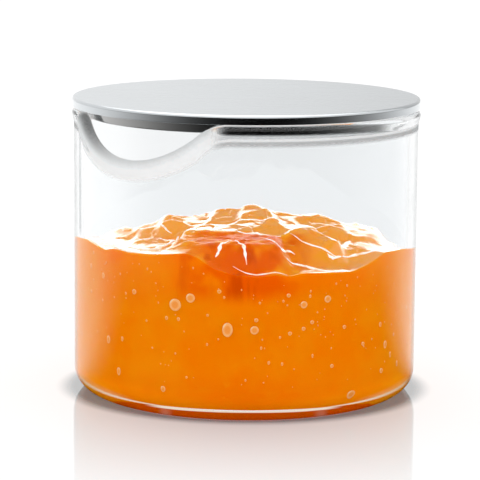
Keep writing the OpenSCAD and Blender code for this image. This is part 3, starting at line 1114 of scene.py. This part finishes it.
SMALL_TALLNESS = (1, 1.6)
SMALL_RISE = 1.4
SMALL_RARITY = 3
BUBBLE_SEED = 7
BUBBLE_LIGHT = math.radians(135)

draw = np.random.default_rng(BUBBLE_SEED)
lenses = [bubble(wall_angle(right), z * MM, w * MM, tall) for right, z, w, tall in BUBBLES]
for angle in draw.uniform(0, TURN, SMALL_BUBBLES):
    ceiling = np.interp(angle, jam_turn, contact) - SMALL_BELOW_EDGE
    height = ceiling - (ceiling - SMALL_LOW) * draw.uniform() ** SMALL_RISE
    width = between(*SMALL_WIDTHS, draw.uniform() ** SMALL_RARITY)
    lenses.append(bubble(angle, height, width, draw.uniform(*SMALL_TALLNESS)))
jam_bubbles = loft("jam_bubbles", *lenses)
at_rim = np.cos(BUBBLE_LEAN) + 0 * BUBBLE_ROUND
mark(jam_bubbles, "edge", *[at_rim] * len(lenses))
# The lit mark places a painted highlight and a painted shade on every bubble.
mark(jam_bubbles, "lit", *[at_rim * np.cos(BUBBLE_ROUND - BUBBLE_LIGHT)] * len(lenses))
print("bubbles:", len(lenses))

# %% [markdown]
# A pressed bubble is a little window into paler jam: peach in the middle, with a pale rim that is nearly
# white at the upper left, where the light comes from, and shaded on the other side. Glass spheres would
# vanish behind the wall, so the lenses carry these tones themselves: the pale rim and its white upper left
# are a painted highlight, and the other side a painted shade.

# %% Finish of the bubbles
BUBBLE_PEACH = (0.95, 0.32, 0.06)
BUBBLE_RIM_LIGHT = (1.0, 0.48, 0.18)
BUBBLE_HIGHLIGHT = (1.0, 0.72, 0.45)
BUBBLE_SHADE = (0.8, 0.17, 0.003)
BUBBLE_MOTTLE = 1400


def bubble_finish():
    material, place = new_finish("jam_bubbles")
    edge, lit = place.marked("edge"), place.marked("lit")
    mottle = place.noise(BUBBLE_MOTTLE, 2.0)
    # Painted highlight on the pale rim, whiter at the upper left, and painted shade on the other side.
    rim = (edge.step(0.4, 0.85) * (0.5 + mottle)).math("MINIMUM", 1.0)
    colour = rim.tint(BUBBLE_PEACH, BUBBLE_RIM_LIGHT)
    colour = (lit.step(0.6, 0.95) * 0.8).tint(colour, BUBBLE_HIGHLIGHT)
    colour = ((0 - lit).step(0.7, 1.0) * 0.6).tint(colour, BUBBLE_SHADE)
    finish_with(place, place.matt(colour, rough=0.35 + 0.2 * mottle))
    return material


def add_to_jar(piece, material):
    """Gives an extra piece its finish and lets the jar carry it."""
    piece.data.materials.append(material)
    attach(piece, "jar")


add_to_jar(jam_bubbles, bubble_finish())
print("bubbles dressed:", [slot.name for slot in jam_bubbles.data.materials])

# %% [markdown]
# Syrup drips off the spoon in threads that lie over the chunks and along the glass. Curves with a bevel
# would float over the lumps, so each thread follows a few places on the heap, its corners are cut until it
# bends softly, and every point of its rings is draped on the jam.

# %% Threads of syrup
# Each row is a width in millimetres, then places to the right and towards the camera as shares of the radius.
THREADS = [
    (1.3, [(-0.98, 0.17), (-0.92, 0.37), (-0.87, 0.47), (-0.82, 0.55)]),
    (0.8, [(-0.79, 0.60), (-0.73, 0.67), (-0.66, 0.74), (-0.51, 0.84)]),
    (1.0, [(-0.83, 0.48), (-0.75, 0.52), (-0.62, 0.63), (-0.51, 0.61), (-0.44, 0.52), (-0.40, 0.37)]),
    (0.4, [(-0.54, 0.20), (-0.50, 0.27), (-0.44, 0.34)]),
    (0.7, [(-0.08, 0.72), (-0.14, 0.79), (-0.15, 0.86), (-0.17, 0.89)]),
    (0.65, [(-0.06, 0.73), (-0.01, 0.81), (0.0, 0.87), (0.01, 0.92)]),
    (0.8, [(0.12, 0.66), (0.19, 0.74), (0.25, 0.66), (0.29, 0.70)]),
    (0.8, [(0.24, 0.82), (0.32, 0.78), (0.40, 0.81), (0.51, 0.84), (0.60, 0.78)]),
    (0.35, [(0.27, 0.49), (0.35, 0.59), (0.48, 0.65), (0.54, 0.66)]),
    (0.7, [(0.48, 0.66), (0.50, 0.68), (0.56, 0.65)]),
    (0.6, [(0.53, 0.67), (0.67, 0.56), (0.82, 0.54)]),
    (0.15, [(-0.07, 0.93), (0.01, 0.97), (0.10, 0.97), (0.20, 0.95), (0.24, 0.95)]),
    (0.9, [(-0.05, 0.47), (0.06, 0.52), (0.21, 0.52)]),
]
CORNER_CUTS = 4
THREAD_COLUMNS = 10
THREAD_HEIGHT = 0.25 * MM
THREAD_ENDS = (0.02, 0.98)
NEAR_WALL = 0.985


def cut_corners(line):
    """Replaces every inner corner of a line by two nearer points and keeps its ends."""
    quarter = 0.75 * line[:-1] + 0.25 * line[1:]
    far_quarter = 0.25 * line[:-1] + 0.75 * line[1:]
    inner = np.stack([quarter, far_quarter], 1).reshape(-1, 2)
    return np.concatenate([line[:1], inner[1:-1], line[-1:]])


def thread(width, places):
    """Rings of a thread that tapers at both ends and lies on the jam."""
    line = np.array(places) * JAM_RADIUS
    for _ in range(CORNER_CUTS):
        line = cut_corners(line)
    along = np.gradient(line, axis=0)
    sideways = np.stack([along[:, 1], -along[:, 0]], -1) / np.hypot(*along.T)[:, None]
    share = np.linspace(*THREAD_ENDS, len(line))
    taper = np.sqrt(np.sin(math.pi * share))
    drops = 0.8 + 0.7 * np.sin(9 * share + 40 * width / MM) ** 2
    half = width / 2 * taper * drops
    round_thread = angles(THREAD_COLUMNS)
    spots = line[:, None] + sideways[:, None] * (half[:, None] * np.cos(round_thread))[..., None]
    spots *= np.minimum(1, NEAR_WALL * JAM_RADIUS / np.hypot(spots[..., 0], spots[..., 1]))[..., None]
    lie = jam_surface(spots[..., 0].ravel(), spots[..., 1].ravel()).reshape(spots.shape[:2])
    swell = THREAD_HEIGHT * np.sin(round_thread) * taper[:, None]
    flat = spots[..., :1] * np.array(EYE_RIGHT) + spots[..., 1:] * np.array(TOWARDS_EYE)
    return flat + (lie + swell)[..., None] * np.array([0, 0, 1])


jam_threads = loft("jam_threads", *[thread(width * MM, places) for width, places in THREADS])
print("threads:", len(THREADS))

# %% [markdown]
# A thread is so thin that it shows little colour of its own. It is a bright highlight with a peach tinge
# here and there, painted as a pale, coated surface with a little painted light of its own that shows from
# every side.

# %% Finish of the threads
THREAD_HIGHLIGHT = (1.0, 0.95, 0.89)
THREAD_PEACH = (1.0, 0.68, 0.42)
THREAD_GLOW = (0.24, 0.2, 0.16, 1)
THREAD_CLOUDS = 500
THREAD_RELIEF = 0.1 * MM


def thread_finish():
    material, place = new_finish("jam_threads")
    clouds = place.noise(THREAD_CLOUDS, 2.0)
    body = place.surface({
        # Painted highlight, white with a peach tinge, with a painted glow of its own.
        "Base Color": clouds.step(0.42, 0.66).tint(THREAD_HIGHLIGHT, THREAD_PEACH),
        "Roughness": 0.05 + 0.1 * clouds, "Normal": place.bump(0.1, THREAD_RELIEF, clouds),
        "Coat Weight": 1.0, "Coat Roughness": 0.04,
        "Emission Color": THREAD_GLOW, "Emission Strength": 1.0,
    })
    finish_with(place, body)
    return material


add_to_jar(jam_threads, thread_finish())
print("threads dressed:", [slot.name for slot in jam_threads.data.materials])

# %% [markdown]
# The studio is a white sweep, so the world is plain white at an ordinary level. Two brighter places are
# there for reflections alone: a softbox overhead, which draws the highlight along the lid's edge, and a
# window behind the pot, which lights the edges inside the glass. As lamps they would also brighten the jam.

# %% White world
WORLD_LEVEL = 1.0
WINDOW_LEVEL = 2.0
SOFTBOX_LEVEL = 0.85


def white_world():
    world = bpy.data.worlds.new("white_sweep")
    world.use_nodes = True
    world.node_tree.nodes.clear()
    start = Wire(world.node_tree)
    sight = start.node("ShaderNodeTexCoord", output="Generated")
    rise = sight.part("Z")
    behind = 0 - sight.along(TOWARDS_EYE)
    glass_faces = start.ray("Transmission Depth")
    window = behind.step(0.2, 0.5) * rise.step(0.62, 0.4) * rise.step(0.0, 0.05) * glass_faces.step(2.4, 2.6)
    softbox = rise.step(0.62, 0.85) * behind.step(0.85, 0.1) * glass_faces.step(0.6, 0.4)
    extra = (WINDOW_LEVEL * window + SOFTBOX_LEVEL * softbox) * start.bounced("Glossy")
    light = start.node("ShaderNodeBackground", None, {"Color": (1, 1, 1, 1), "Strength": WORLD_LEVEL + extra})
    start.node("ShaderNodeOutputWorld", None, {"Surface": light})
    bpy.context.scene.world = world


white_world()
print("world level", WORLD_LEVEL)

# %% [markdown]
# Two wide, far lamps give the soft light a direction: the key comes from behind and shines through the jam,
# and the fill from the camera's side keeps the front from going dull. Suns are used because their light is
# even over the pot and their level can be worked out exactly.

# %% Soft lamps
LAMP_SPREAD = math.radians(45)
KEY_LEVEL = 0.12
KEY_RISE = math.radians(55)
KEY_AZIMUTH = math.radians(-160)
FILL_LEVEL = 0.12
FILL_RISE = math.radians(18)
FILL_AZIMUTH = math.radians(0)


def soft_lamp(name, level, rise, azimuth, glossy):
    """A wide far lamp, by its height angle and its azimuth from the camera, of a level on a facing wall."""
    lamp = bpy.data.objects.new(name, bpy.data.lights.new(name, "SUN"))
    lamp.data.energy = level * math.pi
    lamp.data.angle = LAMP_SPREAD
    sideways = TOWARDS_EYE * math.cos(azimuth) + EYE_RIGHT * math.sin(azimuth)
    light_from = Vector((0, 0, math.sin(rise))) + sideways * math.cos(rise)
    lamp.rotation_euler = (-light_from).to_track_quat("-Z", "Y").to_euler()
    lamp.visible_glossy = glossy
    bpy.context.scene.collection.objects.link(lamp)


soft_lamp("key_lamp", KEY_LEVEL, KEY_RISE, KEY_AZIMUTH, True)
soft_lamp("fill_lamp", FILL_LEVEL, FILL_RISE, FILL_AZIMUTH, False)
print("lamp levels", KEY_LEVEL, FILL_LEVEL)

# %% [markdown]
# The table is white and polished near the pot, so it holds a short reflection and a painted contact shadow
# at the heel. Rays that are seen, directly or by way of metal and glass, find it white. Rays that only carry
# light find it darker, because a fully white table would light the jam from below like a lamp.

# %% Floor
FLOOR_RADIUS = 4.0
FLOOR_Z = -0.1 * MM
FLOOR_POINTS = 9
FLOOR_MATTE = 0.45
FLOOR_WHITE = 1.06
FLOOR_LIFT = 0.3
FLOOR_LIGHT = WORLD_LEVEL + KEY_LEVEL * math.sin(KEY_RISE) + FILL_LEVEL * math.sin(FILL_RISE)
FLOOR_GLOW = FLOOR_WHITE - FLOOR_MATTE * FLOOR_LIGHT
POLISH = 0.46
POLISH_RADII = (150 * MM, 10 * MM)
TABLE_GRAIN = 900
CONTACT_SHADE = 0.72
CONTACT_OUTSIDE = (45 * MM, 39 * MM)
CONTACT_INSIDE = (36 * MM, 40 * MM)
CONTACT_SIDEWAYS = 5 * MM
SHADE_TONE = (0.0, 0.04, 0.06)


def table_top():
    material, place = new_finish("white_table")
    out = place.radius()
    lateral = place.along(EYE_RIGHT) / out
    # Painted contact shadow in a ring round the heel, reaching further at the sides as the camera sees them.
    shade = (out - CONTACT_SIDEWAYS * lateral * lateral).step(*CONTACT_OUTSIDE)
    shade *= out.step(*CONTACT_INSIDE) * CONTACT_SHADE
    seen = place.ray("Is Camera Ray") + place.ray("Is Glossy Ray") + place.ray("Is Transmission Ray")
    seen = seen.math("MINIMUM", 1.0)
    bright = 1 - seen * shade
    glow = seen * bright * FLOOR_GLOW + (1 - seen) * FLOOR_LIFT
    white = bright.tint(SHADE_TONE, [FLOOR_MATTE] * 3)
    lit = place.matt(white, glow.tint(NO_LIGHT, (1, 1, 1)), 1.0)
    grain = place.noise(TABLE_GRAIN, 2.0) * 0.01
    mirror = place.node("ShaderNodeBsdfGlossy", None, {"Color": (1, 1, 1, 1), "Roughness": 0.02 + grain})
    finish_with(place, (out.step(*POLISH_RADII) * POLISH).mix(lit, mirror))
    return material


def sheet(name, rows):
    """Skins rows of points (rows, columns, 3) as an open sheet."""
    index = np.arange(rows.shape[0] * rows.shape[1]).reshape(rows.shape[:2])
    quads = np.stack([index[:-1, :-1], index[1:, :-1], index[1:, 1:], index[:-1, 1:]], -1).reshape(-1, 4)
    return add_piece(name, rows.reshape(-1, 3), quads.tolist())


def set_on_stage(piece, material, hidden_from=()):
    """Gives a studio piece its finish and hides it from some kinds of rays."""
    piece.data.materials.append(material)
    for kind in hidden_from:
        setattr(piece, "visible_" + kind, False)


spread = np.linspace(-FLOOR_RADIUS, FLOOR_RADIUS, FLOOR_POINTS)
floor = sheet("white_table", np.array([[(x, y, FLOOR_Z) for y in spread] for x in spread]))
set_on_stage(floor, table_top())
print("floor light", FLOOR_LIGHT, "and glow", FLOOR_GLOW)

# %% [markdown]
# In an all-white room glass is covered in a white haze. Photographers stand black cards, called flags, where
# the glass would mirror the room, and clear glass and dark lines on the lid come back. This flag lies on the
# table in front of the pot and curves up behind the camera. Only reflections see it, so it takes no light
# away from the jam.

# %% Finish of the dark flag
FLAG_RADIUS = 1.0
FLAG_HEIGHT = 1.0
FLAG_LOW = 0.34
FLAG_START = 36 * MM
FLAG_FADE = 4 * MM
FLAG_SHIFT = math.radians(9.5)
NEAR_SHIFT = math.radians(7)
NEAR_RADII = (150 * MM, 350 * MM)
RING_RADII = (75 * MM, 50 * MM)


def black_film(start, share):
    """Ends a material as a black film of which only a share is there."""
    black = start.node("ShaderNodeBsdfDiffuse", None, {"Color": (0, 0, 0, 1)})
    finish_with(start, share.mix(start.node("ShaderNodeBsdfTransparent"), black))


def turned_eye(shift):
    """The level direction towards the camera, turned to the right by an angle."""
    return Vector((math.sin(VIEW_AZIMUTH + shift), -math.cos(VIEW_AZIMUTH + shift), 0))


def dark_flag():
    material, place = new_finish("dark_flag")
    out = place.radius()
    far = out.step(*NEAR_RADII)
    heel_ring = out.step(*RING_RADII) * (place.along(TOWARDS_EYE) / out).step(0.3, 0.6)
    close = (place.along(turned_eye(NEAR_SHIFT)) / out).step(-0.4, 0.15) * (1 - far)
    beyond = (place.along(turned_eye(FLAG_SHIFT)) / out).step(-0.95, 1.02) * far
    top = FLAG_LOW + (FLAG_HEIGHT - FLAG_LOW) * place.bounced("Transmission")
    within = out.step(FLAG_START, FLAG_START + FLAG_FADE) * (place.part("Z") / top).step(1.0, 0.6)
    dark = heel_ring.math("MAXIMUM", close + beyond) * within
    mirrored = place.bounced("Glossy") * (1 - place.bounced("Diffuse"))
    black_film(place, dark * mirrored * (1 - place.from_within()))
    return material


print("flag reaches", FLAG_HEIGHT, "m up for light through the glass")

# %% Dark flag behind the camera
FLAG_HALF = math.radians(160)
FLAG_COLUMNS = 65
FLAG_ROWS = 12
FLAG_Z = -0.05 * MM
FLAG_RISE = 50 * MM


def flag_mesh():
    """A card that starts on the table in front of the pot and curves up behind the camera."""
    around = VIEW_AZIMUTH + np.linspace(-FLAG_HALF, FLAG_HALF, FLAG_COLUMNS)
    section = [(radius, FLAG_Z) for radius in np.linspace(FLAG_START, FLAG_RADIUS, FLAG_ROWS)]
    section += [(FLAG_RADIUS, height) for height in np.linspace(FLAG_RISE, FLAG_HEIGHT, FLAG_ROWS)]
    return sheet("dark_flag", np.array([ring(around, radius, height) for radius, height in section]))


flag = flag_mesh()
set_on_stage(flag, dark_flag(), ("camera", "diffuse", "volume_scatter", "shadow"))
print("flag faces:", len(flag.data.polygons))

# %% [markdown]
# The polished table would mirror the whole bright pot, but the photograph shows a reflection that is pale
# and nearly grey, cut off at the sides of the glass. A thin dark veil just outside the glass, which only the
# table's mirror sees, holds the reflection back and leaves its shape as it is. The veil is painted shade in
# the reflection: a dark film where there is no real object.

# %% Veil round the pot, for the table's mirror
VEIL_GAP = 0.3 * MM
VEIL_TOP = 62 * MM
VEIL_SHADE = 0.615
VEIL_COLUMNS = 97
VEIL_FOOT = HEEL_RADIUS + VEIL_GAP


def mirror_veil():
    """A film that is there for rays from outside that have not been through glass."""
    material, place = new_finish("mirror_veil")
    outside = place.ray("Transmission Depth").step(0.6, 0.4)
    black_film(place, place.from_within() * outside * VEIL_SHADE)
    return material


veil_turn = np.linspace(0, TURN, VEIL_COLUMNS)
veil_section = heel(VEIL_FOOT, JAR_RADIUS - HEEL_RADIUS, VEIL_FOOT, HEEL_ROWS)
veil_section.append((JAR_RADIUS + VEIL_GAP, VEIL_TOP))
veil = sheet("mirror_veil", np.array([ring(veil_turn, radius, height) for radius, height in veil_section]))
MIRROR_ONLY = ("camera", "diffuse", "transmission", "volume_scatter", "shadow")
set_on_stage(veil, mirror_veil(), MIRROR_ONLY)
print("veil faces:", len(veil.data.polygons))

# %% [markdown]
# The lid's flat top mirrors the room behind it, and in the photograph it gets greyer towards the right. A
# card that stands there and gets darker towards the right gives the same soft fall, which a tint in the
# steel would show from every side.

# %% Grey card behind the lid
CARD_BEHIND = 150 * MM
CARD_HEIGHTS = (77 * MM, 300 * MM)
CARD_SIDES = (-80 * MM, 260 * MM)
CARD_FALL = (-60 * MM, 160 * MM)
CARD_TONE = 0.33
CARD_ROWS = 4
CARD_COLUMNS = 5


def grey_card():
    """A film that gets darker towards the right."""
    material, place = new_finish("grey_card")
    black_film(place, place.along(EYE_RIGHT).step(*CARD_FALL) * CARD_TONE)
    return material


def card_point(across, height):
    """A place on the card, which stands behind the pot and faces the camera."""
    return EYE_RIGHT * across - TOWARDS_EYE * CARD_BEHIND + Vector((0, 0, height))


card_places = np.linspace(*CARD_SIDES, CARD_COLUMNS)
card_rows = [[card_point(across, height) for across in card_places]
             for height in np.linspace(*CARD_HEIGHTS, CARD_ROWS)]
card = sheet("grey_card", np.array(card_rows))
set_on_stage(card, grey_card(), MIRROR_ONLY)
print("card faces:", len(card.data.polygons))
